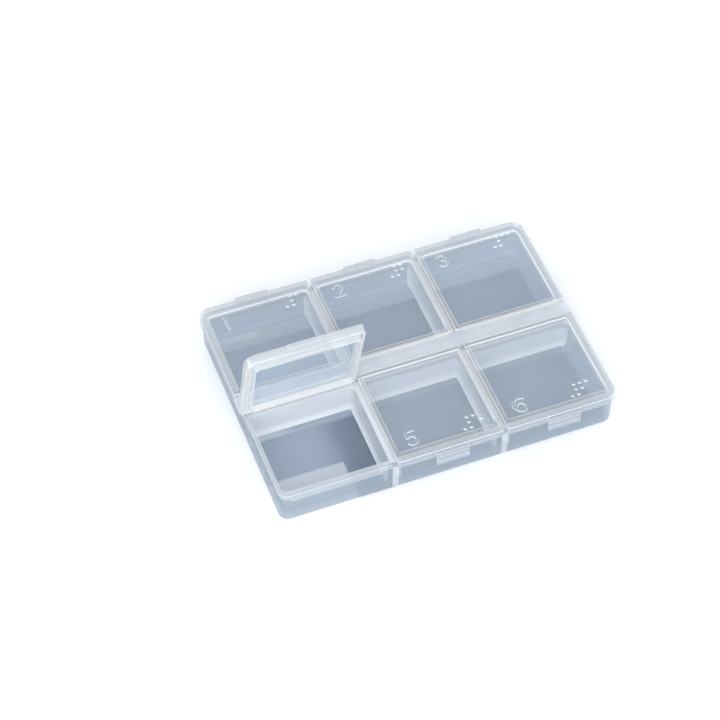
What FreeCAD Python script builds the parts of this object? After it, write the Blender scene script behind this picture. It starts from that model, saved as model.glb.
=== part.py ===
import FreeCAD, Part
import math
import os

# Individual lid bead organizer, in millimetres. X runs along the long side, Y to the rear, Z up.
# The origin is the middle of the tray's underside.

Vector = FreeCAD.Vector
up = Vector(0, 0, 1)
along = Vector(1, 0, 0)

# Tray
tray_length = 133.0
tray_depth = 93.2
rim_height = 15.0
floor_thickness = 1.3
side_wall = 1.5
latch_wall = 2.4
tray_corner = 3.6
bottom_round = 1.7
end_extra = 0.875
divider_thickness = 2.4
row_face = 5.3
row_wall = 1.3
pocket_corner = 2.5
foot_round = 2.0
channel_web_top = 8.0

# Snap rib on the outer walls
rib_length = 35.0
rib_height = 0.7
rib_reach = 0.45
rib_drop = 0.5
rib_slope = 0.2

# Lids
lid_gap = 0.8
skirt_thickness = 0.8
skirt_clearance = 0.15
skirt_depth = 3.4
skirt_floor_gap = 0.2
plate_thickness = 1.5
seat_gap = 0.1
panel_drop = 0.8
panel_thickness = 1.15
plug_clearance = 0.2
plug_wall = 0.95
outer_border = 2.9
inner_border = 2.0
latch_border = 4.35
hinge_border = 2.05
panel_corner = 1.6
lid_inner_corner = 1.2
hinge_step = 0.3
notch_clearance = 0.2

# Pull tab with its catch
tab_width = 12.9
tab_drop = 0.2
tab_reach = 1.5
tab_thickness = 1.3
tab_length = 6.2
lip_reach = 0.45
lip_height = 0.9
groove_depth = 0.28
groove_height = 0.5
groove_spacing = 2.2
bead_height = 0.7
bead_gap = 0.1
bead_below_rib = 0.1

# Spine strip and hinge webs
hinge_line = 3.2
web_width = 0.5
web_thickness = 0.3
web_setback = 2.2
spine_thickness = 1.3
leg_thickness = 1.0
leg_end_gap = 0.3
pad_length = 6.0
pad_height = 4.0

# Numbers and braille dots on the panels
number_height = 6.7
number_stroke = 0.8
mark_relief = 0.35
mark_sink = 0.3
number_inset = 4.675
number_row_inset_rear = 4.5
number_row_inset_front = 5.0
dot_pitch = 2.5
dot_radius = 0.75
dot_relief = 0.4
dots_inset_rear = 6.975
dots_inset_front = 9.0
dots_row_inset_rear = 2.6
dots_row_inset_front = 4.55

# Lid 4 stands open; degrees from closed
open_angle = 75.0

# Cuts run past the faces by this much
overrun = 1.0

# Worked out from the sizes above
middle_room = (tray_length - 2 * side_wall - 2 * divider_thickness - 2 * end_extra) / 3
compartment_pitch = middle_room + divider_thickness
skirt_offset = skirt_clearance + skirt_thickness
plate_bottom = rim_height + seat_gap
lid_top = plate_bottom + plate_thickness
panel_top = lid_top - panel_drop
panel_bottom = panel_top - panel_thickness
skirt_bottom = lid_top - skirt_depth
inner_top = skirt_bottom - skirt_floor_gap
lid_half_x = tray_length / 2 + skirt_offset
lid_latch_y = tray_depth / 2 + skirt_offset
lid_hinge_y = hinge_line + web_width / 2
lid_outer_corner = tray_corner + skirt_offset
panel_edge_y = lid_latch_y - latch_border
panel_half_x = compartment_pitch / 2 - lid_gap / 2 - inner_border
spine_half = hinge_line - web_width / 2
spine_bottom = panel_top - spine_thickness
hinge_height = panel_top - web_thickness / 2
skirt_swing = math.hypot(web_width / 2 + skirt_thickness, hinge_height - skirt_bottom)
rib_top = skirt_bottom - rib_drop
rib_bottom = rib_top - rib_height

# Strokes of the numbers: lines as start and end, arcs as centre, radius and angles in degrees.
# All lengths are shares of the number's height, from its lower left corner.
stroke_shares = {
    1: [("line", -0.08, -0.06, -0.08, 0.94)],
    2: [("arc", 0.32, 0.70, 0.30, -40.0, 165.0), ("line", 0.55, 0.507, 0.0, 0.0),
        ("line", 0.0, 0.0, 0.66, 0.0)],
    3: [("arc", 0.30, 0.75, 0.25, -90.0, 150.0), ("arc", 0.30, 0.27, 0.27, -150.0, 80.0)],
    4: [("line", 0.5, 0.0, 0.5, 1.0), ("line", 0.5, 1.0, 0.0, 0.3), ("line", 0.0, 0.3, 0.68, 0.3)],
    5: [("line", 0.14, 1.05, 0.62, 1.05), ("line", 0.14, 1.05, 0.07, 0.58),
        ("arc", 0.31, 0.33, 0.33, -145.0, 135.0)],
    6: [("arc", 0.36, 0.33, 0.33, 0.0, 360.0), ("arc", 0.42, 0.52, 0.52, 58.0, 205.0)],
}

# Braille cells on one even grid: column and row of each dot, rows from the top.
number_sign = [(2, 1), (2, 2), (1, 3), (2, 3)]
letter_dots = {
    1: [(3, 1)],
    2: [(3, 1), (3, 2)],
    3: [(3, 1), (4, 1)],
    4: [(3, 1), (4, 1), (4, 2)],
    5: [(3, 1), (4, 2)],
    6: [(3, 1), (4, 1), (3, 2)],
}


# A closed box between two corners
def block(x0, y0, z0, x1, y1, z1):
    return Part.makeBox(x1 - x0, y1 - y0, z1 - z0, Vector(x0, y0, z0))


# Vertical edges of a solid that stand at the named corner
def upright_edge(solid, x, y, slack):
    for edge in solid.Edges:
        ends = [vertex.Point for vertex in edge.Vertexes]
        if len(ends) == 2 and all(math.hypot(p.x - x, p.y - y) < slack for p in ends):
            return edge
    return None


# A block whose four upright corners are rounded: left-low, right-low, right-high, left-high in X and Y
def rounded_block(x0, y0, z0, x1, y1, z1, radii):
    solid = block(x0, y0, z0, x1, y1, z1)
    corners = [(x0, y0), (x1, y0), (x1, y1), (x0, y1)]
    slack = min(x1 - x0, y1 - y0) / 1000
    for (x, y), radius in zip(corners, radii):
        if radius > 0:
            solid = solid.makeFillet(radius, [upright_edge(solid, x, y, slack)])
    return solid


# Rounds every edge that lies in the solid's lowest plane
def round_bottom(solid, radius):
    low = solid.BoundBox.ZMin
    slack = solid.BoundBox.ZLength / 1000
    edges = [edge for edge in solid.Edges if abs(edge.BoundBox.ZMax - low) < slack]
    return solid.makeFillet(radius, edges)


# A closed profile in the Y-Z plane, drawn out along X
def bar_along_x(profile, x0, x1):
    points = [Vector(x0, y, z) for y, z in profile]
    face = Part.Face(Part.makePolygon(points + [points[0]]))
    return face.extrude(along * (x1 - x0))


# Swaps front and rear
def mirrored(solid):
    return solid.mirror(Vector(0, 0, 0), Vector(0, 1, 0))


# Left and right inner faces of one column of compartments
def column_faces(column):
    divider_face = compartment_pitch / 2 - divider_thickness / 2
    far_face = tray_length / 2 - side_wall
    if column == 0:
        return -divider_face, divider_face
    near = compartment_pitch / 2 + divider_thickness / 2
    return (near, far_face) if column > 0 else (-far_face, -near)


# The hollow of one rear compartment
def pocket(column):
    x0, x1 = column_faces(column)
    hollow = rounded_block(x0, row_face, floor_thickness, x1, tray_depth / 2 - latch_wall,
                           rim_height + overrun, [pocket_corner] * 4)
    return round_bottom(hollow, foot_round)


# The channel between the two row walls, with a low web under each divider
def channel():
    half_x = tray_length / 2 - side_wall
    half_y = row_face - row_wall
    bays = [block(-half_x, -half_y, channel_web_top, half_x, half_y, rim_height + overrun)]
    for column in (-1, 0, 1):
        x0, x1 = column_faces(column)
        bays.append(block(x0, -half_y, floor_thickness, x1, half_y, channel_web_top + overrun))
    return bays


# Cuts that lower the inner walls and open the rim where lid skirts cross it
def rim_cuts():
    half_x = tray_length / 2
    half_y = tray_depth / 2
    top = rim_height + overrun
    cuts = [rounded_block(-half_x + side_wall, -half_y + latch_wall, inner_top,
                          half_x - side_wall, half_y - latch_wall, top, [pocket_corner] * 4)]
    notch = lid_gap / 2 + skirt_thickness + notch_clearance
    for x in (-compartment_pitch / 2, compartment_pitch / 2):
        cuts.append(block(x - notch, -half_y - overrun, inner_top, x + notch, half_y + overrun, top))
    end_notch = hinge_line + skirt_swing + notch_clearance
    cuts.append(block(-half_x - overrun, -end_notch, inner_top, half_x + overrun, end_notch, top))
    return cuts


# The rib that one rear lid's catch snaps under
def snap_rib(column):
    x0, x1 = lid_sides(column)
    middle = (x0 + x1) / 2
    face = tray_depth / 2
    root = face - latch_wall / 2
    profile = [(root, rib_bottom), (face, rib_bottom), (face + rib_reach, rib_bottom + rib_slope),
               (face + rib_reach, rib_top - rib_slope), (face, rib_top), (root, rib_top)]
    return bar_along_x(profile, middle - rib_length / 2, middle + rib_length / 2)


# The box itself, one moulding
def make_tray():
    half_x = tray_length / 2
    half_y = tray_depth / 2
    body = rounded_block(-half_x, -half_y, 0, half_x, half_y, rim_height, [tray_corner] * 4)
    body = round_bottom(body, bottom_round)
    hollows = channel() + rim_cuts()
    ribs = []
    for column in (-1, 0, 1):
        hollow = pocket(column)
        rib = snap_rib(column)
        hollows += [hollow, mirrored(hollow)]
        ribs += [rib, mirrored(rib)]
    return body.cut(hollows).fuse(ribs).removeSplitter()


# Left and right outer faces of one column's lids
def lid_sides(column):
    inner = compartment_pitch / 2 - lid_gap / 2
    outer = compartment_pitch / 2 + lid_gap / 2
    if column == 0:
        return -inner, inner
    return (outer, lid_half_x) if column > 0 else (-lid_half_x, -outer)


# Chooses a value for a lid's left and right side: one for an end side, one for a divider side
def side_values(column, end_value, divider_value):
    left = end_value if column < 0 else divider_value
    right = end_value if column > 0 else divider_value
    return left, right


# A lid's border plate, skirt, plug and sunk panel, for the rear row
def lid_shell(column):
    x0, x1 = lid_sides(column)
    left, right = side_values(column, lid_outer_corner, lid_inner_corner)
    radii = [0, 0, right, left]
    body = rounded_block(x0, lid_hinge_y, skirt_bottom, x1, lid_latch_y, lid_top, radii)
    inner_radii = [0, 0, right - skirt_thickness, left - skirt_thickness]
    hollow = rounded_block(x0 + skirt_thickness, lid_hinge_y + skirt_thickness, skirt_bottom - overrun,
                           x1 - skirt_thickness, lid_latch_y - skirt_thickness, plate_bottom, inner_radii)
    body = body.cut(hollow).fuse(lid_plug(column)).cut(lid_recess(column))
    step = block(x0 - overrun, lid_hinge_y - overrun, panel_top,
                 x1 + overrun, lid_hinge_y + hinge_step, lid_top + overrun)
    return body.cut(step)


# The part of the lid that sinks inside the rim and carries the panel
def lid_plug(column):
    x0, x1 = lid_sides(column)
    end_inset = skirt_offset + side_wall + plug_clearance
    left, right = side_values(column, end_inset, inner_border - plug_wall)
    latch_face = tray_depth / 2 - latch_wall - plug_clearance
    corner = pocket_corner - plug_clearance
    near_left, near_right = side_values(column, corner, 0)
    return rounded_block(x0 + left, lid_hinge_y + hinge_border - plug_wall, panel_bottom, x1 - right, latch_face,
                         plate_bottom + plate_thickness / 2, [0, 0, near_right, near_left])


# The shallow hollow above the panel
def lid_recess(column):
    x0, x1 = lid_sides(column)
    left, right = side_values(column, outer_border, inner_border)
    return rounded_block(x0 + left, lid_hinge_y + hinge_border, panel_top, x1 - right,
                         lid_latch_y - latch_border, lid_top + overrun, [0, 0, panel_corner, panel_corner])


# The pull tab: a block proud of the skirt, grooved outside, with a lip below and a catch bead inside
def pull_tab(column):
    x0, x1 = lid_sides(column)
    middle = (x0 + x1) / 2
    face = lid_latch_y + tab_reach
    inner = face - tab_thickness
    root = lid_latch_y - skirt_thickness / 2
    top = lid_top - tab_drop
    bottom = top - tab_length
    bead_top = rib_bottom - bead_below_rib
    bead_tip = tray_depth / 2 + rib_reach + bead_gap
    bead_slope = (inner - bead_tip) / 2
    profile = [(root, top), (face - groove_depth, top), (face, top - groove_depth)]
    for step in (1, 2):
        z = top - groove_spacing * step
        profile += [(face, z + groove_height), (face - groove_depth, z + groove_height / 2),
                    (face - groove_depth, z), (face, z - groove_height / 2)]
    profile += [(face, bottom + lip_height + lip_reach), (face + lip_reach, bottom + lip_height),
                (face + lip_reach, bottom + groove_depth), (face + lip_reach - groove_depth, bottom),
                (inner + lip_reach, bottom), (inner, bead_top - bead_height - bead_slope),
                (bead_tip, bead_top - bead_height), (bead_tip, bead_top - bead_slope),
                (inner, bead_top), (inner, skirt_bottom), (root, skirt_bottom)]
    return bar_along_x(profile, middle - tab_width / 2, middle + tab_width / 2)


# One straight stroke of a number, with round ends
def line_stroke(x0, y0, x1, y1):
    base = panel_top - mark_sink
    height = mark_sink + mark_relief
    half = number_stroke / 2
    length = math.hypot(x1 - x0, y1 - y0)
    bar = Part.makeBox(length, number_stroke, height, Vector(0, -half, 0))
    bar.rotate(Vector(0, 0, 0), up, math.degrees(math.atan2(y1 - y0, x1 - x0)))
    bar.translate(Vector(x0, y0, base))
    ends = [Part.makeCylinder(half, height, Vector(x, y, base)) for x, y in ((x0, y0), (x1, y1))]
    return [bar] + ends


# One curved stroke of a number, with round ends
def arc_stroke(x, y, radius, start, end):
    base = panel_top - mark_sink
    height = mark_sink + mark_relief
    half = number_stroke / 2
    centre = Vector(x, y, base)
    outer = Part.makeCylinder(radius + half, height, centre, up, end - start)
    inner = Part.makeCylinder(radius - half, height + overrun, centre - up * (overrun / 2))
    ring = outer.cut(inner)
    ring.rotate(centre, up, start)
    pieces = [ring]
    for angle in (start, end):
        offset = Vector(math.cos(math.radians(angle)), math.sin(math.radians(angle)), 0) * radius
        pieces.append(Part.makeCylinder(half, height, centre + offset))
    return pieces


# The raised number of a lid
def number_marks(number, left, middle_y):
    height = number_height - number_stroke
    left = left + number_stroke / 2
    low = middle_y - height / 2
    pieces = []
    for kind, *share in stroke_shares[number]:
        if kind == "line":
            x0, y0, x1, y1 = [value * height for value in share]
            pieces += line_stroke(left + x0, low + y0, left + x1, low + y1)
        else:
            x, y, radius = [value * height for value in share[:3]]
            pieces += arc_stroke(left + x, low + y, radius, share[3], share[4])
    return pieces


# The raised braille dots of a lid, each the cap of a ball
def braille_marks(number, second_column, middle_y):
    ball = (dot_radius ** 2 + dot_relief ** 2) / (2 * dot_relief)
    height = panel_top + dot_relief - ball
    cut = math.degrees(math.asin((panel_top - mark_sink - height) / ball))
    dots = []
    for column, row in number_sign + letter_dots[number]:
        x = second_column + (column - 2) * dot_pitch
        y = middle_y + (2 - row) * dot_pitch
        dots.append(Part.makeSphere(ball, Vector(x, y, height), up, cut, 90, 360))
    return dots


# One lid, closed. Lids 1 to 3 are the rear row and 4 to 6 the front row, from the left
def make_closed_lid(number):
    column = (number - 1) % 3 - 1
    rear = number <= 3
    middle = column * compartment_pitch
    shell = lid_shell(column).fuse(pull_tab(column)).removeSplitter()
    left = middle - panel_half_x + number_inset
    right = middle + panel_half_x
    if rear:
        marks = number_marks(number, left, panel_edge_y - number_row_inset_rear)
        marks += braille_marks(number, right - dots_inset_rear, panel_edge_y - dots_row_inset_rear)
    else:
        shell = mirrored(shell)
        marks = number_marks(number, left, number_row_inset_front - panel_edge_y)
        marks += braille_marks(number, right - dots_inset_front, dots_row_inset_front - panel_edge_y)
    return shell.fuse(marks)


# Turns a front piece open about the front hinge line
def opened(solid, angle):
    turned = solid.copy()
    turned.rotate(Vector(0, -hinge_line, hinge_height), Vector(-1, 0, 0), angle)
    return turned


# The thin web that joins one lid to the strip, straight when the lid is closed
def make_hinge(number):
    column = (number - 1) % 3 - 1
    x0, x1 = lid_sides(column)
    low = panel_top - web_thickness
    if number <= 3:
        return block(x0 + web_setback, spine_half, low, x1 - web_setback, lid_hinge_y, panel_top)
    angle = math.radians(open_angle) if number == 4 else 0
    ends = []
    for z in (low, panel_top):
        y, rise = -web_width / 2, z - hinge_height
        ends.append((-hinge_line + y * math.cos(angle) + rise * math.sin(angle),
                     hinge_height - y * math.sin(angle) + rise * math.cos(angle)))
    profile = [(-spine_half, panel_top), (-spine_half, low), ends[0], ends[1]]
    return bar_along_x(profile, x0 + web_setback, x1 - web_setback)


# The strip between the rows, with end feet on the tray's end walls and legs that press into the channel
def make_spine():
    inner_x = tray_length / 2 - side_wall
    leg_x = inner_x - leg_end_gap
    pieces = [block(-lid_half_x, -spine_half, spine_bottom, lid_half_x, spine_half, panel_top)]
    for end in (-1, 1):
        x0, x1 = sorted((end * inner_x, end * lid_half_x))
        pieces.append(block(x0, -spine_half, inner_top, x1, spine_half, panel_top))
    pad_face = row_face - row_wall
    for side in (-1, 1):
        y0, y1 = sorted((side * (spine_half - leg_thickness), side * spine_half))
        pieces.append(block(-leg_x, y0, channel_web_top, leg_x, y1, panel_top))
        for column in (-1, 0, 1):
            middle = column * compartment_pitch
            p0, p1 = sorted((side * (spine_half - leg_thickness), side * pad_face))
            pieces.append(block(middle - pad_length / 2, p0, channel_web_top,
                                middle + pad_length / 2, p1, channel_web_top + pad_height))
    return pieces[0].fuse(pieces[1:]).removeSplitter()


# Writes one node and says what it is
def save(name, solid):
    if len(solid.Solids) == 1:
        solid = solid.Solids[0]
    solid.exportStep("parts/" + name + ".step")
    print(name, "solids", len(solid.Solids), "valid", solid.isValid(), "volume", round(solid.Volume, 1))


os.makedirs("parts", exist_ok=True)
save("tray", make_tray())
save("spine", make_spine())
for number in range(1, 7):
    lid = make_closed_lid(number)
    save("lid_" + str(number), opened(lid, open_angle) if number == 4 else lid)
    save("hinge_" + str(number), make_hinge(number))
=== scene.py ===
"""The individual lid bead organizer: its looks, the camera and the light.

Every length is in metres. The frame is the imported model's: X along the long side, Y to the rear, Z up.
"""

import logging
import math
from dataclasses import dataclass, replace
from enum import Enum

import bpy
from mathutils import Matrix, Vector


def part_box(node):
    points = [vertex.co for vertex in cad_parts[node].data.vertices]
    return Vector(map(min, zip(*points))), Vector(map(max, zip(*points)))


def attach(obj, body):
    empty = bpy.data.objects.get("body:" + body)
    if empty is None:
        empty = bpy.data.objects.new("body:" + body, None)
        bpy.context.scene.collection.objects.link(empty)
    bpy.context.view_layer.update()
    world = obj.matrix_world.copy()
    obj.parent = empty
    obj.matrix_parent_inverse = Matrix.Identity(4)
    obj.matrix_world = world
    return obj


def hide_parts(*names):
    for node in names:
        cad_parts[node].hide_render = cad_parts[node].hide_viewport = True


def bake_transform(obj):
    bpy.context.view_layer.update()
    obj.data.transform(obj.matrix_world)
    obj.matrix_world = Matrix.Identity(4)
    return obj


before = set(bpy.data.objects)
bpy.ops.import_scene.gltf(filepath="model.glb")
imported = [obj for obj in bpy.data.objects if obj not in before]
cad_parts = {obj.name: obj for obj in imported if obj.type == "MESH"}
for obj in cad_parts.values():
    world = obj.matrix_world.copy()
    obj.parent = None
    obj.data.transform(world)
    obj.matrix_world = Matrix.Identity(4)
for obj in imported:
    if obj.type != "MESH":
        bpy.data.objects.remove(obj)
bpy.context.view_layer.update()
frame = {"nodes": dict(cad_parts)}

LOG = logging.getLogger("organizer")

# The lids are counted from one along the rear row and then along the front row. One stands open at rest.
LID_COUNT = 6
COLUMN_COUNT = 3
OPEN_LID = 4
OPEN_ANGLE = math.radians(75.0)

# A Mix node's sockets for numbers, vectors and colours share their names, so the colours' go by place.
MIX_COLOUR_INPUTS = (6, 7)
MIX_COLOUR_OUTPUT = 2

Colour = tuple[float, float, float]
Point = tuple[float, float, float]
Socket = bpy.types.NodeSocket
Value = Socket | float


class Row(Enum):
    """The two rows of lids, by the side of the strip that they hang on."""

    REAR = 1
    FRONT = -1


class Axis(Enum):
    """The three directions, by the names of their sockets."""

    X = "X"
    Y = "Y"
    Z = "Z"


class Blend(Enum):
    """How a second colour goes over the first."""

    MIX = "MIX"
    ADD = "ADD"


class Zone(Enum):
    """The parts of the tray that look different from one another, mostly through painted light and shade.
    """

    INNER = "inner walls"
    BARE = "inner walls of the open compartment"
    OUTER = "outer walls"
    RIM = "rim"
    ENDS = "divider ends"
    FOOT = "foot lines"


class NodeGraph:
    """A material's node tree, with short calls that add and join its nodes."""

    def __init__(self, name: str) -> None:
        """Starts an empty material.

        Args:
            name: The material's name.
        """
        self.material = bpy.data.materials.new(name)
        self.material.use_nodes = True
        self.tree = self.material.node_tree
        self.tree.nodes.clear()
        self.output = self.tree.nodes.new("ShaderNodeOutputMaterial")

    def add(self, kind: str, values: dict | None = None, **settings: object) -> bpy.types.Node:
        """Adds one node.

        Args:
            kind: The node's type without its ShaderNode prefix.
            values: Socket names with their constant values.
            settings: The node's own properties.

        Returns:
            The new node.
        """
        node = self.tree.nodes.new("ShaderNode" + kind)
        for key, value in settings.items():
            setattr(node, key, value)
        for key, value in (values or {}).items():
            node.inputs[key].default_value = value
        return node

    def join(self, source: Socket, target: Socket) -> None:
        """Links one output to one input."""
        self.tree.links.new(source, target)

    def math(self, operation: str, first: Value, second: Value = 0.0) -> Socket:
        """Adds a Math node.

        Args:
            operation: The node's operation.
            first: A socket or a number.
            second: A socket or a number.

        Returns:
            The node's output socket.
        """
        node = self.add("Math", operation=operation)
        for place, value in enumerate((first, second)):
            if isinstance(value, (int, float)):
                node.inputs[place].default_value = value
            else:
                self.join(value, node.inputs[place])
        return node.outputs[0]

    def remap(self, source: Socket, low: float, high: float, to_low: float, to_high: float) -> Socket:
        """Maps a range of values onto another, smoothly and without overshoot.

        Args:
            source: The value that is mapped.
            low: Where the source range starts.
            high: Where the source range ends.
            to_low: The result at low.
            to_high: The result at high.

        Returns:
            The mapped value's socket.
        """
        limits = {"From Min": low, "From Max": high, "To Min": to_low, "To Max": to_high}
        node = self.add("MapRange", limits, interpolation_type="SMOOTHSTEP")
        self.join(source, node.inputs["Value"])
        return node.outputs["Result"]

    def blend_colours(self, factor: Socket, first: Socket | Colour, second: Socket | Colour,
                      way: Blend = Blend.MIX) -> Socket:
        """Mixes two colours, or adds a share of the second to the first.

        Args:
            factor: The share of the second colour.
            first: A socket or a colour.
            second: A socket or a colour.
            way: How the second colour goes over the first.

        Returns:
            The blended colour's socket.
        """
        node = self.add("Mix", data_type="RGBA", blend_type=way.value)
        self.join(factor, node.inputs["Factor"])
        for place, value in zip(MIX_COLOUR_INPUTS, (first, second)):
            if isinstance(value, tuple):
                node.inputs[place].default_value = (*value, 1.0)
            else:
                self.join(value, node.inputs[place])
        return node.outputs[MIX_COLOUR_OUTPUT]

    def noise(self, place: Socket, scale: float, detail: float, roughness: float = 0.5) -> Socket:
        """Adds a noise texture.

        Args:
            place: The texture coordinate's socket.
            scale: How fine the noise is.
            detail: How many finer layers it has.
            roughness: How strong those layers are.

        Returns:
            The noise's socket.
        """
        node = self.add("TexNoise", {"Scale": scale, "Detail": detail, "Roughness": roughness})
        self.join(place, node.inputs["Vector"])
        return node.outputs["Fac"]

    def split(self, vector: Socket) -> dict[Axis, Socket]:
        """Splits a vector into its numbers.

        Args:
            vector: The vector's socket.

        Returns:
            The sockets of X, Y and Z.
        """
        node = self.add("SeparateXYZ")
        self.join(vector, node.inputs[0])
        return {axis: node.outputs[axis.value] for axis in Axis}


@dataclass(frozen=True)
class CloudyPlastic:
    """Thin translucent polypropylene: it tints what lies behind it and adds a pale haze.

    The haze is thicker where the eye looks along the surface, and the moulding's edges get a bright
    painted highlight.
    """

    name: str
    haze: Colour
    shade: Colour
    tint: Colour
    face_on: float
    edge_on: float
    # The haze share of the painted highlight on edges and raised marks.
    highlight_cover: float
    roughness: float
    # The near-white of the painted highlight on edges and raised marks.
    highlight_colour: Colour = (0.97, 0.985, 1.0)
    rim_radius: float = 0.00055
    bevel_samples: int = 8
    sharp_edge: float = 0.86
    flat_edge: float = 0.997
    glance_start: float = 0.5
    glance_full: float = 0.98
    index: float = 1.49
    mottle_scale: float = 55.0
    mottle_detail: float = 3.0
    mottle_roughness: float = 0.55
    mottle_share: float = 0.15
    cloud_low: float = 0.3
    cloud_high: float = 0.7
    wear_scale: float = 165.0
    wear_detail: float = 4.0
    least_wear: float = 0.8
    most_wear: float = 1.3
    ripple_scale: float = 900.0
    ripple_detail: float = 2.0
    ripple_strength: float = 0.25
    ripple_height: float = 0.000012

    def build(self) -> bpy.types.Material:
        """Builds the material.

        Returns:
            The finished material.
        """
        graph = NodeGraph(self.name)
        place = graph.add("TexCoord").outputs["Object"]
        cloud = graph.noise(place, self.mottle_scale, self.mottle_detail, self.mottle_roughness)
        bevel = graph.add("Bevel", {"Radius": self.rim_radius}, samples=self.bevel_samples)
        rounded = bevel.outputs["Normal"]
        # Painted highlight: the edges and the raised marks are blended towards near-white and made more
        # opaque.
        rim = graph.math("MAXIMUM", self.edge_highlights(graph, place, rounded), self.mark_highlights(graph, place))
        colour = self.haze_colour(graph, place, cloud)
        colour = graph.blend_colours(rim, colour, self.highlight_colour)
        cover = self.haze_cover(graph, place, cloud)
        cover = graph.math("MAXIMUM", cover, graph.math("MULTIPLY", rim, self.highlight_cover))
        skin = graph.add("BsdfPrincipled", {"IOR": self.index})
        graph.join(colour, skin.inputs["Base Color"])
        graph.join(self.worn_roughness(graph, place), skin.inputs["Roughness"])
        graph.join(self.ripples(graph, place, rounded), skin.inputs["Normal"])
        inside = graph.add("BsdfTransparent", {"Color": (*self.tint, 1.0)})
        mix = graph.add("MixShader")
        graph.join(cover, mix.inputs[0])
        graph.join(inside.outputs[0], mix.inputs[1])
        graph.join(skin.outputs[0], mix.inputs[2])
        graph.join(mix.outputs[0], graph.output.inputs["Surface"])
        return graph.material

    def edge_highlights(self, graph: NodeGraph, place: Socket, rounded: Socket) -> Socket:
        """Finds the moulding's edges, where a rounded normal leaves the flat one, for their painted
        highlight.

        Args:
            graph: The material's node tree.
            place: The texture coordinate's socket; not used here, though the lids' override reads it.
            rounded: The rounded normal's socket.

        Returns:
            A mask that is one on the edges.
        """
        flat = graph.add("NewGeometry").outputs["Normal"]
        product = graph.add("VectorMath", operation="DOT_PRODUCT")
        graph.join(rounded, product.inputs[0])
        graph.join(flat, product.inputs[1])
        return graph.remap(product.outputs["Value"], self.sharp_edge, self.flat_edge, 1.0, 0.0)

    def haze_colour(self, graph: NodeGraph, place: Socket, cloud: Socket) -> Socket:
        """Mottles the haze between its two colours.

        Args:
            graph: The material's node tree.
            place: The texture coordinate's socket; not used here, though the overrides read it.
            cloud: The mottling's socket.

        Returns:
            The haze's colour.
        """
        share = graph.remap(cloud, self.cloud_low, self.cloud_high, 0.0, 1.0)
        return graph.blend_colours(share, self.haze, self.shade)

    def mark_highlights(self, graph: NodeGraph, place: Socket) -> Value:
        """Finds raised marks that get a painted highlight as the edges do; a plain moulding has none."""
        return 0.0

    def haze_cover(self, graph: NodeGraph, place: Socket, cloud: Socket) -> Socket:
        """Works out how much of the surface is haze.

        Args:
            graph: The material's node tree.
            place: The texture coordinate's socket; not used here, though the overrides read it.
            cloud: The mottling's socket.

        Returns:
            The haze's share.
        """
        facing = graph.add("LayerWeight").outputs["Facing"]
        cover = graph.remap(facing, self.glance_start, self.glance_full, self.face_on, self.edge_on)
        varied = graph.remap(cloud, self.cloud_low, self.cloud_high,
                             1.0 - self.mottle_share, 1.0 + self.mottle_share)
        return graph.math("MULTIPLY", cover, varied)

    def worn_roughness(self, graph: NodeGraph, place: Socket) -> Socket:
        """Makes the gloss vary a little, as a moulding's does where it has been handled.

        Args:
            graph: The material's node tree.
            place: The texture coordinate's socket.

        Returns:
            The roughness socket.
        """
        cloud = graph.noise(place, self.wear_scale, self.wear_detail)
        return graph.remap(cloud, self.cloud_low, self.cloud_high,
                           self.roughness * self.least_wear, self.roughness * self.most_wear)

    def ripples(self, graph: NodeGraph, place: Socket, rounded: Socket) -> Socket:
        """Adds the faint waviness of a moulded surface to its softened edges.

        Args:
            graph: The material's node tree.
            place: The texture coordinate's socket.
            rounded: The rounded normal's socket.

        Returns:
            The normal socket.
        """
        wave = graph.noise(place, self.ripple_scale, self.ripple_detail)
        bump = graph.add("Bump", {"Strength": self.ripple_strength, "Distance": self.ripple_height})
        graph.join(wave, bump.inputs["Height"])
        graph.join(rounded, bump.inputs["Normal"])
        return bump.outputs["Normal"]


@dataclass(frozen=True)
class PaintedFloorPatch:
    """One soft patch of light or shade on the tray's floor, bounded by ramps along X and Y."""

    colour: Colour
    cover: float
    ramps: tuple[tuple[Axis, float, float], ...]

    def mask(self, graph: NodeGraph, axes: dict[Axis, Socket]) -> Socket:
        """Finds the patch.

        Args:
            graph: The material's node tree.
            axes: The sockets of X and Y.

        Returns:
            A mask that is one where every ramp is full.
        """
        mask: Value = 1.0
        for axis, start, full in self.ramps:
            if start < full:
                ramp = graph.remap(axes[axis], start, full, 0.0, 1.0)
            else:
                ramp = graph.remap(axes[axis], full, start, 1.0, 0.0)
            mask = graph.math("MULTIPLY", ramp, mask)
        return mask


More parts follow.
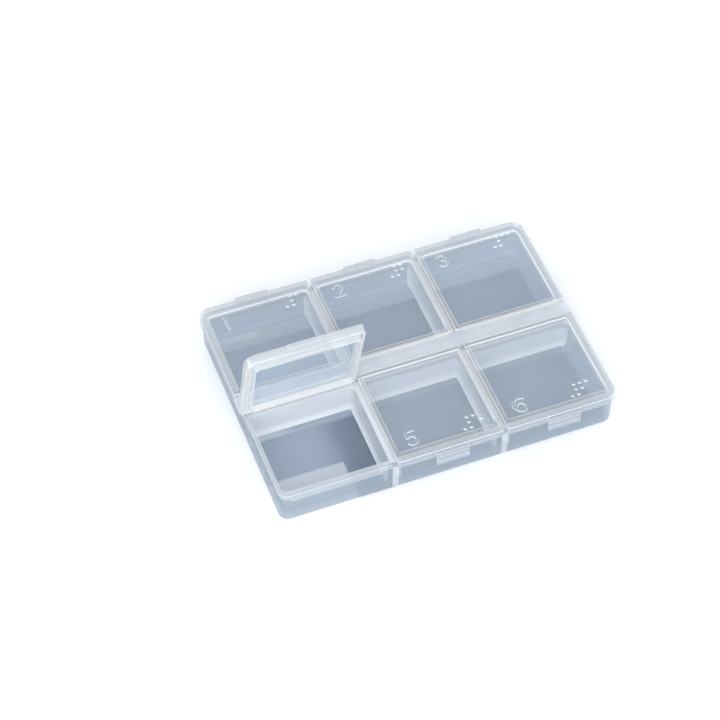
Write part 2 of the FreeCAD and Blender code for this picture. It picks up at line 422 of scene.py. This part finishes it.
# Painted light and shade on the tray's floor, in the order they are laid: painted shade deepening towards
# the right of the open front-left compartment;
# a painted light band along the rear of the rear compartments, stronger in the left one; a painted
# reflection streak in the rear-left compartment's far-left corner;
# and a painted pool of light at the front-left of the open compartment.
# painted light lifting the open lid's shadow on the rear-left floor; a painted light band along the row
# wall's foot in the front compartments, stronger at the left end;
PAINTED_FLOOR_PATCHES = (
    PaintedFloorPatch((0.22, 0.27, 0.33), 0.17, ((Axis.X, -0.0450, -0.0300), (Axis.X, -0.0217, -0.0219),
                                         (Axis.Y, 0.0, -0.0010))),
    PaintedFloorPatch((0.86, 0.93, 1.00), 0.17, ((Axis.X, -0.0217, -0.0219), (Axis.Y, 0.0, 0.0010))),
    PaintedFloorPatch((0.85, 0.92, 0.96), 0.22, ((Axis.Y, -0.0104, -0.0090), (Axis.Y, 0.0, -0.0010))),
    PaintedFloorPatch((0.85, 0.92, 0.96), 0.42, ((Axis.X, -0.0380, -0.0560), (Axis.Y, -0.0104, -0.0090),
                                         (Axis.Y, 0.0, -0.0010))),
    PaintedFloorPatch((0.94, 0.95, 0.98), 0.29, ((Axis.Y, 0.0350, 0.0370),)),
    PaintedFloorPatch((0.94, 0.95, 0.98), 0.35, ((Axis.X, -0.0217, -0.0219), (Axis.Y, 0.0350, 0.0370))),
    PaintedFloorPatch((0.98, 0.96, 0.97), 0.45, ((Axis.X, -0.0380, -0.0480), (Axis.Y, 0.0385, 0.0400))),
    PaintedFloorPatch((0.96, 0.95, 0.98), 0.44, ((Axis.X, -0.0350, -0.0365), (Axis.Y, -0.0280, -0.0300))),
)


@dataclass(frozen=True)
class TrayPlastic(CloudyPlastic):
    """The tray's plastic, which looks paler on the inner walls and the rim than on the outer walls: the
    inner walls are painted paler as painted light, and the outer walls deeper as painted shade.
    """

    # Painted shade: the outer walls are painted a deeper blue-grey, standing in for the dim surroundings
    # seen through them.
    outer_shade_colour: Colour = (0.545, 0.63, 0.705)
    # Painted light: the inner walls are painted paler than the outer ones, and carry more haze.
    inner_light_colour: Colour = (0.94, 0.945, 0.98)
    # Painted shade: the walls of the open compartment are painted darker than the other inner walls.
    bare_shade_colour: Colour = (0.86, 0.895, 0.935)
    inner_x: float = 0.0628
    inner_y: float = 0.0420
    divider_reach: float = 0.0032
    pocket_x: float = 0.0651
    pocket_y: float = 0.0443
    row_foot: float = 0.0074
    divider_x: float = 0.021775
    divider_half: float = 0.0012
    floor_top: float = 0.00133
    # Height of the painted highlight line along the foot of the inner walls.
    foot_line: float = 0.00015
    rim_start: float = 0.0128
    inner_cover: float = 0.78
    wall_cover: float = 0.34
    rim_cover: float = 0.40
    # Painted light: where a divider meets an outer wall, the wall keeps the paler haze and more of it, as
    # a pale band.
    divider_light_cover: float = 0.5
    foot_highlight_cover: float = 0.3

    def zones(self, graph: NodeGraph, place: Socket) -> dict[Zone, Socket]:
        """Tells the parts of the moulding apart.

        Args:
            graph: The material's node tree.
            place: The texture coordinate's socket.

        Returns:
            Each zone's mask.
        """
        axes = graph.split(place)
        across = graph.math("ABSOLUTE", axes[Axis.X])
        within = graph.math("ABSOLUTE", axes[Axis.Y])
        height = axes[Axis.Z]
        off = graph.math("ABSOLUTE", graph.math("SUBTRACT", across, self.divider_x))
        beside = graph.math("MULTIPLY", graph.math("LESS_THAN", off, self.divider_reach),
                            graph.math("LESS_THAN", within, self.pocket_y))
        middle = graph.math("MULTIPLY", graph.math("LESS_THAN", across, self.inner_x),
                            graph.math("LESS_THAN", within, self.inner_y))
        by_row_wall = graph.math("MULTIPLY", graph.math("LESS_THAN", across, self.pocket_x),
                                 graph.math("LESS_THAN", within, self.row_foot))
        inside = graph.math("MAXIMUM", graph.math("MAXIMUM", beside, middle), by_row_wall)
        above = graph.math("GREATER_THAN", height, self.floor_top)
        rim = graph.math("GREATER_THAN", height, self.rim_start)
        outer = graph.math("MULTIPLY", graph.math("SUBTRACT", 1.0, inside),
                           graph.math("SUBTRACT", 1.0, rim))
        ends = graph.math("MULTIPLY", outer, graph.math("LESS_THAN", off, self.divider_half))
        # Painted highlight: a thin near-white line along the foot of the inner walls, just above the
        # floor.
        low = graph.math("LESS_THAN", height, self.floor_top + self.foot_line)
        inner = graph.math("MULTIPLY", inside, above)
        front_left = graph.math("MULTIPLY", graph.math("LESS_THAN", axes[Axis.X], -self.divider_x),
                                graph.math("LESS_THAN", axes[Axis.Y], 0.0))
        return {Zone.INNER: inner, Zone.BARE: graph.math("MULTIPLY", inner, front_left), Zone.OUTER: outer,
                Zone.RIM: rim, Zone.ENDS: ends, Zone.FOOT: graph.math("MULTIPLY", inner, low)}

    def painted_floor_patches(self, graph: NodeGraph, place: Socket) -> list[tuple[Socket, PaintedFloorPatch]]:
        """Finds the soft patches of light and shade on the floor.

        Args:
            graph: The material's node tree.
            place: The texture coordinate's socket.

        Returns:
            Each patch with its mask, in the order they are laid.
        """
        axes = graph.split(place)
        floor = graph.math("LESS_THAN", axes[Axis.Z], self.floor_top)
        return [(graph.math("MULTIPLY", floor, patch.mask(graph, axes)), patch) for patch in PAINTED_FLOOR_PATCHES]

    def haze_colour(self, graph: NodeGraph, place: Socket, cloud: Socket) -> Socket:
        """Mottles the haze and paints light and shade into it: deeper on the outer walls, paler on the
        inner walls, deeper again on the open compartment's walls, a highlight along the walls' feet, and
        the floor's patches of light and shade.

        Args:
            graph: The material's node tree.
            place: The texture coordinate's socket.
            cloud: The mottling's socket.

        Returns:
            The haze's colour.
        """
        zones = self.zones(graph, place)
        wall = graph.math("SUBTRACT", zones[Zone.OUTER], zones[Zone.ENDS])
        colour = graph.blend_colours(wall, super().haze_colour(graph, place, cloud), self.outer_shade_colour)
        colour = graph.blend_colours(zones[Zone.INNER], colour, self.inner_light_colour)
        colour = graph.blend_colours(zones[Zone.BARE], colour, self.bare_shade_colour)
        colour = graph.blend_colours(zones[Zone.FOOT], colour, self.highlight_colour)
        for mask, patch in self.painted_floor_patches(graph, place):
            colour = graph.blend_colours(mask, colour, patch.colour)
        return colour

    def haze_cover(self, graph: NodeGraph, place: Socket, cloud: Socket) -> Socket:
        """Works out how much of the surface is haze in each zone.

        Args:
            graph: The material's node tree.
            place: The texture coordinate's socket.
            cloud: The mottling's socket.

        Returns:
            The haze's share.
        """
        zones = self.zones(graph, place)
        levels = {Zone.INNER: self.inner_cover, Zone.OUTER: self.wall_cover, Zone.RIM: self.rim_cover,
                  Zone.ENDS: self.divider_light_cover, Zone.FOOT: self.foot_highlight_cover}
        cover = super().haze_cover(graph, place, cloud)
        for zone, level in levels.items():
            cover = graph.math("MAXIMUM", cover, graph.math("MULTIPLY", zones[zone], level))
        for mask, patch in self.painted_floor_patches(graph, place):
            cover = graph.math("MAXIMUM", cover, graph.math("MULTIPLY", mask, patch.cover))
        return cover


@dataclass(frozen=True)
class LidPlastic(CloudyPlastic):
    """One lid's plastic: clear over the sunk panel, cloudy over the border and bright with a painted
    highlight on the marks.

    It is painted whiter on a lid that stands open, as painted light for the light that then reaches both
    of the lid's sides.
    """

    panel_middle: tuple[float, float] = (0.0, 0.0)
    panel_half: tuple[float, float] = (0.0, 0.0)
    hinge_point: Point = (0.0, 0.0, 0.0)
    open_angle: float = 0.0
    panel_cover: float = 0.13
    open_panel_cover: float = 0.2266
    border_cover: float = 0.22
    open_border_cover: float = 0.4808
    skirt_cover: float = 0.45
    panel_colour: Colour = (0.67, 0.79, 0.92)
    # Painted shade: the skirts and the tab, which hang outside the tray, are painted a deeper blue-grey.
    skirt_shade_colour: Colour = (0.52, 0.57, 0.64)
    # Painted light: colours added to the border and the skirts of a lid as it stands open.
    open_light_gain: Colour = (0.1835, 0.1642, 0.1256)
    open_skirt_light_gain: Colour = (0.14, 0.125, 0.095)
    upright: float = 0.3
    level: float = 0.95
    skirt_x: float = 0.0666
    skirt_y: float = 0.0467
    mark_fade: float = 0.6
    mark_level: float = 0.0159
    # Painted highlight on the raised marks: a faint share all over them and a glint on their slopes.
    mark_share: float = 0.15
    mark_glint: float = 0.8
    glint_side: Point = (-0.30, -0.954, 0.0)
    glint_full: float = 0.3
    slope_start: float = 0.97
    slope_full: float = 0.87
    tab_y: float = 0.0476
    tab_fade: float = 0.2

    def closed_place(self, graph: NodeGraph, place: Socket) -> dict[Axis, Socket]:
        """Turns points of the lid back to where they are when it is closed.

        Args:
            graph: The material's node tree.
            place: The texture coordinate's socket.

        Returns:
            The sockets of X, Y and Z.
        """
        turn = graph.add("VectorRotate", {"Center": self.hinge_point, "Angle": self.open_angle},
                         rotation_type="X_AXIS")
        graph.join(place, turn.inputs["Vector"])
        return graph.split(turn.outputs[0])

    def openness(self, graph: NodeGraph) -> Socket:
        """Works out how far the lid stands open, from the way that its top faces.

        Args:
            graph: The material's node tree.

        Returns:
            A share that is zero on a closed lid and one on an upright lid.
        """
        top = (0.0, math.sin(self.open_angle), math.cos(self.open_angle))
        turn = graph.add("VectorTransform", {"Vector": top}, vector_type="VECTOR",
                         convert_from="OBJECT", convert_to="WORLD")
        return graph.remap(graph.split(turn.outputs[0])[Axis.Z], self.upright, self.level, 1.0, 0.0)

    def closed_normal(self, graph: NodeGraph) -> Socket:
        """Turns the surface's normal back to where it points when the lid is closed.

        Args:
            graph: The material's node tree.

        Returns:
            The normal's socket.
        """
        local = graph.add("VectorTransform", vector_type="NORMAL",
                          convert_from="WORLD", convert_to="OBJECT")
        graph.join(graph.add("NewGeometry").outputs["Normal"], local.inputs["Vector"])
        turn = graph.add("VectorRotate", {"Angle": self.open_angle}, rotation_type="X_AXIS")
        graph.join(local.outputs[0], turn.inputs["Vector"])
        return turn.outputs[0]

    def panel_mask(self, graph: NodeGraph, axes: dict[Axis, Socket]) -> Socket:
        """Finds the sunk panel.

        Args:
            graph: The material's node tree.
            axes: The closed place's sockets.

        Returns:
            A mask that is one on the panel.
        """
        masks = []
        for axis, middle, half in zip((Axis.X, Axis.Y), self.panel_middle, self.panel_half):
            off = graph.math("ABSOLUTE", graph.math("SUBTRACT", axes[axis], middle))
            masks.append(graph.math("LESS_THAN", off, half))
        return graph.math("MULTIPLY", *masks)

    def skirt_mask(self, graph: NodeGraph, axes: dict[Axis, Socket]) -> Socket:
        """Finds the outer skirts and the tab, which hang outside the tray.

        Args:
            graph: The material's node tree.
            axes: The closed place's sockets.

        Returns:
            A mask that is one on them.
        """
        ends = graph.math("GREATER_THAN", graph.math("ABSOLUTE", axes[Axis.X]), self.skirt_x)
        front = graph.math("GREATER_THAN", graph.math("ABSOLUTE", axes[Axis.Y]), self.skirt_y)
        return graph.math("MAXIMUM", ends, front)

    def raised_marks(self, graph: NodeGraph, place: Socket) -> Socket:
        """Finds the raised number and dots on the panel.

        Args:
            graph: The material's node tree.
            place: The texture coordinate's socket.

        Returns:
            A mask that is one on the marks.
        """
        axes = self.closed_place(graph, place)
        raised = graph.math("GREATER_THAN", axes[Axis.Z], self.mark_level)
        return graph.math("MULTIPLY", raised, self.panel_mask(graph, axes))

    def edge_highlights(self, graph: NodeGraph, place: Socket, rounded: Socket) -> Socket:
        """Finds the edges for their painted highlight, fainter on the marks and the tab, where they lie
        close together.

        Args:
            graph: The material's node tree.
            place: The texture coordinate's socket.
            rounded: The rounded normal's socket.

        Returns:
            A mask that is one on the edges.
        """
        fade = graph.math("MULTIPLY", self.raised_marks(graph, place), self.mark_fade)
        reach = graph.math("ABSOLUTE", self.closed_place(graph, place)[Axis.Y])
        tab = graph.math("MULTIPLY", graph.math("GREATER_THAN", reach, self.tab_y), self.tab_fade)
        kept = graph.math("SUBTRACT", 1.0, graph.math("MAXIMUM", fade, tab))
        return graph.math("MULTIPLY", super().edge_highlights(graph, place, rounded), kept)

    def mark_highlights(self, graph: NodeGraph, place: Socket) -> Value:
        """Works out the painted highlight on the raised number and dots: a glint on their slopes that face
        one way, over a faint share all over them.

        Args:
            graph: The material's node tree.
            place: The texture coordinate's socket.

        Returns:
            The marks' share of the painted edge highlight's brightness.
        """
        normal = self.closed_normal(graph)
        towards = graph.add("VectorMath", {1: self.glint_side}, operation="DOT_PRODUCT")
        graph.join(normal, towards.inputs[0])
        slope = graph.remap(graph.split(normal)[Axis.Z], self.slope_full, self.slope_start, 1.0, 0.0)
        facing = graph.remap(towards.outputs["Value"], 0.0, self.glint_full,
                             0.0, self.mark_glint - self.mark_share)
        outside = graph.math("SUBTRACT", 1.0, graph.add("NewGeometry").outputs["Backfacing"])
        glint = graph.math("MULTIPLY", outside, graph.math("MULTIPLY", slope, facing))
        brightness = graph.math("ADD", glint, self.mark_share)
        return graph.math("MULTIPLY", self.raised_marks(graph, place), brightness)

    def haze_cover(self, graph: NodeGraph, place: Socket, cloud: Socket) -> Socket:
        """Works out how much of the surface is haze, more on the border, and more again on an open lid as
        part of its painted light.

        Args:
            graph: The material's node tree.
            place: The texture coordinate's socket.
            cloud: The mottling's socket.

        Returns:
            The haze's share.
        """
        cover = super().haze_cover(graph, place, cloud)
        axes = self.closed_place(graph, place)
        panel = self.panel_mask(graph, axes)
        openness = self.openness(graph)
        border = graph.math("MULTIPLY", graph.math("SUBTRACT", 1.0, panel),
                            graph.remap(openness, 0.0, 1.0, self.border_cover, self.open_border_cover))
        middle = graph.math("MULTIPLY", panel,
                            graph.remap(openness, 0.0, 1.0, self.panel_cover, self.open_panel_cover))
        skirt = graph.math("MULTIPLY", self.skirt_mask(graph, axes), self.skirt_cover)
        for level in (border, middle, skirt):
            cover = graph.math("MAXIMUM", cover, level)
        return cover

    def haze_colour(self, graph: NodeGraph, place: Socket, cloud: Socket) -> Socket:
        """Mottles the haze, bluer on the panel, deeper on the skirts as painted shade, and whiter on an
        open lid as painted light.

        Args:
            graph: The material's node tree.
            place: The texture coordinate's socket.
            cloud: The mottling's socket.

        Returns:
            The haze's colour.
        """
        axes = self.closed_place(graph, place)
        panel = self.panel_mask(graph, axes)
        skirts = self.skirt_mask(graph, axes)
        colour = super().haze_colour(graph, place, cloud)
        colour = graph.blend_colours(panel, colour, self.panel_colour)
        colour = graph.blend_colours(skirts, colour, self.skirt_shade_colour)
        openness = self.openness(graph)
        border = graph.math("SUBTRACT", 1.0, graph.math("MAXIMUM", panel, skirts))
        for zone, gain in ((border, self.open_light_gain), (skirts, self.open_skirt_light_gain)):
            colour = graph.blend_colours(graph.math("MULTIPLY", openness, zone), colour, gain, Blend.ADD)
        return colour


@dataclass(frozen=True)
class PlainPaint:
    """The matt white floor."""

    name: str
    colour: Colour
    roughness: float = 0.3

    def build(self) -> bpy.types.Material:
        """Builds the material.

        Returns:
            The finished material.
        """
        graph = NodeGraph(self.name)
        shader = graph.add("BsdfDiffuse", {"Color": (*self.colour, 1.0), "Roughness": self.roughness})
        graph.join(shader.outputs[0], graph.output.inputs["Surface"])
        return graph.material


@dataclass
class TrayAssembly:
    """The tray and the strip that is pressed into its channel."""

    plastic: TrayPlastic = TrayPlastic(
        name="tray_polypropylene", haze=(0.86, 0.90, 0.94), shade=(0.79, 0.84, 0.89),
        tint=(0.755, 0.79, 0.83), face_on=0.10, edge_on=0.4, highlight_cover=0.85, roughness=0.16)
    strip_plastic: CloudyPlastic = CloudyPlastic(
        name="strip_polypropylene", haze=(0.87, 0.91, 0.96), shade=(0.82, 0.87, 0.92),
        tint=(0.88, 0.91, 0.94), face_on=0.5, edge_on=0.6, highlight_cover=0.8, roughness=0.2)

    def dress(self, nodes: dict[str, bpy.types.Object]) -> None:
        """Gives both mouldings their plastic.

        Args:
            nodes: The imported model's objects by name.
        """
        for name, finish in (("tray", self.plastic), ("spine", self.strip_plastic)):
            put_on(nodes[name], finish.build())
            LOG.info("dressed %s", name)


@dataclass(frozen=True)
class InnerRim:
    """The thin rim under a lid, which reaches down inside its compartment.

    Its sizes are those of a closed lid in the rear row.
    """

    end_inset: float = 0.0027
    inner_inset: float = 0.0011
    near: float = 0.0055
    far: float = 0.0439
    top: float = 0.0147
    foot: float = 0.0120
    wall: float = 0.0008
    corner: float = 0.0024
    corner_steps: int = 12

    def outline(self, left: float, right: float, inset: float) -> list[tuple[float, float]]:
        """Walks round a rectangle with rounded corners.

        Args:
            left: The outer rectangle's left side.
            right: The outer rectangle's right side.
            inset: How far inside the outer rectangle the line runs.

        Returns:
            The line's points.
        """
        reach = self.corner - inset
        left, right = left + self.corner, right - self.corner
        near, far = self.near + self.corner, self.far - self.corner
        points = []
        for turn, (x, y) in enumerate(((right, far), (left, far), (left, near), (right, near))):
            for step in range(self.corner_steps + 1):
                angle = math.pi / 2.0 * (turn + step / self.corner_steps)
                points.append((x + reach * math.cos(angle), y + reach * math.sin(angle)))
        return points

    def loops(self, left: float, right: float) -> list[list[Point]]:
        """Works out the four lines that bound the rim, from the outer top one to the inner top one.

        Args:
            left: The rim's left side.
            right: The rim's right side.

        Returns:
            The lines' points.
        """
        outer = self.outline(left, right, 0.0)
        inner = self.outline(left, right, self.wall)
        return [[(x, y, height) for x, y in line] for line, height in
                ((outer, self.top), (outer, self.foot), (inner, self.foot), (inner, self.top))]


@dataclass
class LidAssembly:
    """One lid with its inner rim and the living hinge that carries it."""

    number: int
    open_angle: float = 0.0
    haze: Colour = (0.76, 0.79, 0.83)
    shade: Colour = (0.71, 0.745, 0.79)
    outer_border: float = 0.0029
    inner_border: float = 0.002
    panel_near: float = 0.0055
    panel_far: float = 0.0432
    hinge_line: float = 0.0032
    web_half: float = 0.00025
    web_top: float = 0.0158
    web_thickness: float = 0.0003
    fold_steps: int = 8
    inner_rim: InnerRim = InnerRim()

    @property
    def row(self) -> Row:
        """The row that the lid is in."""
        return Row.REAR if self.number <= COLUMN_COUNT else Row.FRONT

    @property
    def column(self) -> int:
        """The column that the lid is in, counted from zero at the left."""
        return (self.number - 1) % COLUMN_COUNT

    @property
    def body(self) -> str:
        """The body that the lid turns with."""
        return f"lid_{self.number}_body"

    @property
    def hinge_height(self) -> float:
        """The height of the axis that the lid turns about."""
        return self.web_top - self.web_thickness / 2.0

    def span(self, end_inset: float, inner_inset: float) -> tuple[float, float]:
        """Works out where something under the lid starts and ends along X.

        Args:
            end_inset: Its distance from a side of the lid at the tray's end.
            inner_inset: Its distance from a side of the lid beside another lid.

        Returns:
            Its left and right sides.
        """
        low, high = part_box(f"lid_{self.number}")
        left = low.x + (end_inset if self.column == 0 else inner_inset)
        right = high.x - (end_inset if self.column == COLUMN_COUNT - 1 else inner_inset)
        return left, right

    def plastic(self) -> LidPlastic:
        """Works out the lid's plastic, with its panel where this lid has it.

        Returns:
            The plastic.
        """
        left, right = self.span(self.outer_border, self.inner_border)
        side = self.row.value
        return LidPlastic(
            name=f"lid_{self.number}_polypropylene", haze=self.haze, shade=self.shade,
            tint=(0.985, 0.99, 0.997), face_on=0.06, edge_on=0.4, highlight_cover=1.0, roughness=0.14,
            panel_middle=((left + right) / 2.0, side * (self.panel_near + self.panel_far) / 2.0),
            panel_half=((right - left) / 2.0, (self.panel_far - self.panel_near) / 2.0),
            hinge_point=(0.0, side * self.hinge_line, self.hinge_height), open_angle=self.open_angle,
        )

    def rim_plastic(self) -> LidPlastic:
        """Works out the inner rim's plastic, which is clearer than the rest of a closed lid.

        Returns:
            The plastic.
        """
        return replace(self.plastic(), name=f"inner_rim_{self.number}_polypropylene", tint=(1.0, 1.0, 1.0),
                       face_on=0.03, edge_on=0.2, highlight_cover=0.4, border_cover=0.05, open_border_cover=0.36,
                       panel_half=(0.0, 0.0))

    def at_rest(self, point: Point) -> Point:
        """Turns a point of the closed lid to where it is at rest.

        Args:
            point: The point, as on a rear lid.

        Returns:
            The point on this lid.
        """
        x, out, rise = point[0], point[1] - self.hinge_line, point[2] - self.hinge_height
        cosine, sine = math.cos(self.open_angle), math.sin(self.open_angle)
        y = self.hinge_line + out * cosine - rise * sine
        return (x, self.row.value * y, self.hinge_height + out * sine + rise * cosine)

    def build_rim(self, plastic: bpy.types.Material) -> bpy.types.Object:
        """Builds the inner rim under the lid.

        Args:
            plastic: The rim's plastic.

        Returns:
            The rim's object.
        """
        loops = self.inner_rim.loops(*self.span(self.inner_rim.end_inset, self.inner_rim.inner_inset))
        count = len(loops[0])
        vertices = [self.at_rest(point) for loop in loops for point in loop]
        faces = []
        for here in range(len(loops)):
            above, below = here * count, (here + 1) % len(loops) * count
            for step in range(count):
                after = (step + 1) % count
                face = (above + step, below + step, below + after, above + after)
                faces.append(face if self.row is Row.REAR else face[::-1])
        return new_piece(f"inner_rim_{self.number}", vertices, faces, plastic)

    def fold_profile(self) -> list[tuple[float, float]]:
        """Works out the web's centre line across the hinge, bent round its axis.

        Returns:
            Distances out from the strip and heights, measured from the hinge's axis.
        """
        points = []
        for step in range(self.fold_steps + 1):
            share = step / self.fold_steps
            turned = self.open_angle * share
            reach = self.web_half * (2.0 * share - 1.0)
            points.append((reach * math.cos(turned / 2.0), max(reach, 0.0) * math.sin(turned)))
        return points

    def build_web(self, low_x: float, high_x: float, plastic: bpy.types.Material) -> bpy.types.Object:
        """Builds the folding web, with its lid as it stands at rest.

        Args:
            low_x: The web's left end.
            high_x: The web's right end.
            plastic: The lid's plastic.

        Returns:
            The web's object.
        """
        half = self.web_thickness / 2.0
        vertices: list[Point] = []
        for step, (out, rise) in enumerate(self.fold_profile()):
            turned = self.open_angle * step / self.fold_steps
            for side in (-half, half):
                y = self.hinge_line + out - side * math.sin(turned)
                z = self.hinge_height + rise + side * math.cos(turned)
                for x in (low_x, high_x):
                    vertices.append((x, y * self.row.value, z))
        ring = 4
        faces = []
        for step in range(self.fold_steps):
            here, after = step * ring, (step + 1) * ring
            faces += [(here, here + 1, after + 1, after), (here + 2, after + 2, after + 3, here + 3),
                      (here, after, after + 2, here + 2), (here + 1, here + 3, after + 3, after + 1)]
        last = self.fold_steps * ring
        faces += [(0, 2, 3, 1), (last, last + 1, last + 3, last + 2)]
        return new_piece(f"folding_web_{self.number}", vertices, faces, plastic)

    def build(self, nodes: dict[str, bpy.types.Object]) -> None:
        """Dresses the lid, hangs its inner rim below it and puts its web across the hinge.

        Args:
            nodes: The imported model's objects by name.
        """
        plastic = self.plastic().build()
        put_on(nodes[f"lid_{self.number}"], plastic)
        low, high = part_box(f"hinge_{self.number}")
        web = self.build_web(low.x, high.x, plastic)
        rim = self.build_rim(self.rim_plastic().build())
        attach(rim, self.body)
        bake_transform(web)
        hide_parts(f"hinge_{self.number}")
        LOG.info("lid %d with its inner rim and its web", self.number)


@dataclass(frozen=True)
class Lamp:
    """One soft round lamp that is aimed at the middle of the part."""

    name: str
    place: Point
    size: float
    power: float

    def build(self) -> None:
        """Hangs the lamp."""
        data = bpy.data.lights.new(self.name, "AREA")
        data.shape = "DISK"
        data.size = self.size
        data.energy = self.power
        lamp = bpy.data.objects.new(self.name, data)
        lamp.location = self.place
        lamp.rotation_euler = (-Vector(self.place)).to_track_quat("-Z", "Y").to_euler()
        bpy.context.scene.collection.objects.link(lamp)


@dataclass
class Studio:
    """The white floor, the soft lamps and the camera."""

    camera_place: Point = (-0.20733, -0.49802, 0.67953)
    right: Point = (0.9348, -0.3551, 0.0)
    upward: Point = (0.2762, 0.7272, 0.6284)
    focal_mm: float = 112.54
    clip_start: float = 0.01
    clip_end: float = 50.0
    floor_colour: Colour = (0.96, 0.965, 0.97)
    floor_size: float = 6.0
    floor_drop: float = 0.0003
    sky: Colour = (0.93, 0.96, 1.0)
    sky_level: float = 0.72
    lamps: tuple[Lamp, ...] = (
        Lamp("key_lamp", (-0.3, -0.8, 0.6), 1.2, 8.5),
        Lamp("side_lamp", (0.8, -0.1, 0.7), 0.6, 1.5),
        Lamp("back_lamp", (-0.2, 0.8, 0.7), 0.7, 2.0),
    )

    def build_camera(self) -> None:
        """Sets the camera where the photograph was taken from."""
        data = bpy.data.cameras.new("camera")
        data.lens = self.focal_mm
        data.clip_start = self.clip_start
        data.clip_end = self.clip_end
        camera = bpy.data.objects.new("camera", data)
        right = Vector(self.right).normalized()
        upward = Vector(self.upward).normalized()
        back = right.cross(upward).normalized()
        turn = Matrix((right, upward, back)).transposed().to_4x4()
        camera.matrix_world = Matrix.Translation(Vector(self.camera_place)) @ turn
        bpy.context.scene.collection.objects.link(camera)
        bpy.context.scene.camera = camera

    def build_floor(self) -> None:
        """Lays the floor just under the tray."""
        half = self.floor_size / 2.0
        corners = [(-half, -half, -self.floor_drop), (half, -half, -self.floor_drop),
                   (half, half, -self.floor_drop), (-half, half, -self.floor_drop)]
        paint = PlainPaint("floor_paint", self.floor_colour).build()
        floor = new_piece("floor", corners, [(0, 1, 2, 3)], paint)

    def build_sky(self) -> None:
        """Makes the sky white to the eye and soft and even as light."""
        world = bpy.data.worlds.new("sky")
        bpy.context.scene.world = world
        world.use_nodes = True
        tree = world.node_tree
        tree.nodes.clear()
        output = tree.nodes.new("ShaderNodeOutputWorld")
        seen = tree.nodes.new("ShaderNodeBackground")
        seen.inputs["Color"].default_value = (1.0, 1.0, 1.0, 1.0)
        seen.inputs["Strength"].default_value = 1.0
        lit = tree.nodes.new("ShaderNodeBackground")
        lit.inputs["Color"].default_value = (*self.sky, 1.0)
        lit.inputs["Strength"].default_value = self.sky_level
        path = tree.nodes.new("ShaderNodeLightPath")
        mix = tree.nodes.new("ShaderNodeMixShader")
        rays = path.outputs["Is Camera Ray"]
        for kind in ("Is Glossy Ray", "Is Transmission Ray"):
            either = tree.nodes.new("ShaderNodeMath")
            either.operation = "MAXIMUM"
            tree.links.new(rays, either.inputs[0])
            tree.links.new(path.outputs[kind], either.inputs[1])
            rays = either.outputs[0]
        tree.links.new(rays, mix.inputs[0])
        tree.links.new(lit.outputs[0], mix.inputs[1])
        tree.links.new(seen.outputs[0], mix.inputs[2])
        tree.links.new(mix.outputs[0], output.inputs["Surface"])

    def build(self) -> None:
        """Builds the whole studio."""
        bpy.context.scene.view_settings.view_transform = "Standard"
        self.build_camera()
        self.build_floor()
        for lamp in self.lamps:
            lamp.build()
        self.build_sky()
        LOG.info("studio built")


def put_on(piece: bpy.types.Object, material: bpy.types.Material) -> None:
    """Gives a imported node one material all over.

    Args:
        piece: The node's object.
        material: The material that replaces all of its own.
    """
    for slot in piece.material_slots:
        slot.material = material


def new_piece(name: str, vertices: list[Point], faces: list[tuple[int, ...]],
              material: bpy.types.Material) -> bpy.types.Object:
    """Makes an object from corner points and faces.

    Args:
        name: The object's name.
        vertices: The corner points.
        faces: The faces, as places in the list of corner points.
        material: The object's material.

    Returns:
        The new object.
    """
    mesh = bpy.data.meshes.new(name)
    mesh.from_pydata(vertices, [], faces)
    mesh.materials.append(material)
    mesh.validate()
    mesh.update()
    piece = bpy.data.objects.new(name, mesh)
    bpy.context.scene.collection.objects.link(piece)
    return piece


def main(packed: dict) -> None:
    """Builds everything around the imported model.
    """
    logging.basicConfig(level=logging.INFO, format="%(message)s")
    Studio().build()
    TrayAssembly().dress(packed["nodes"])
    for number in range(1, LID_COUNT + 1):
        open_angle = OPEN_ANGLE if number == OPEN_LID else 0.0
        LidAssembly(number, open_angle).build(packed["nodes"])


if __name__ == "__main__":
    main(frame)
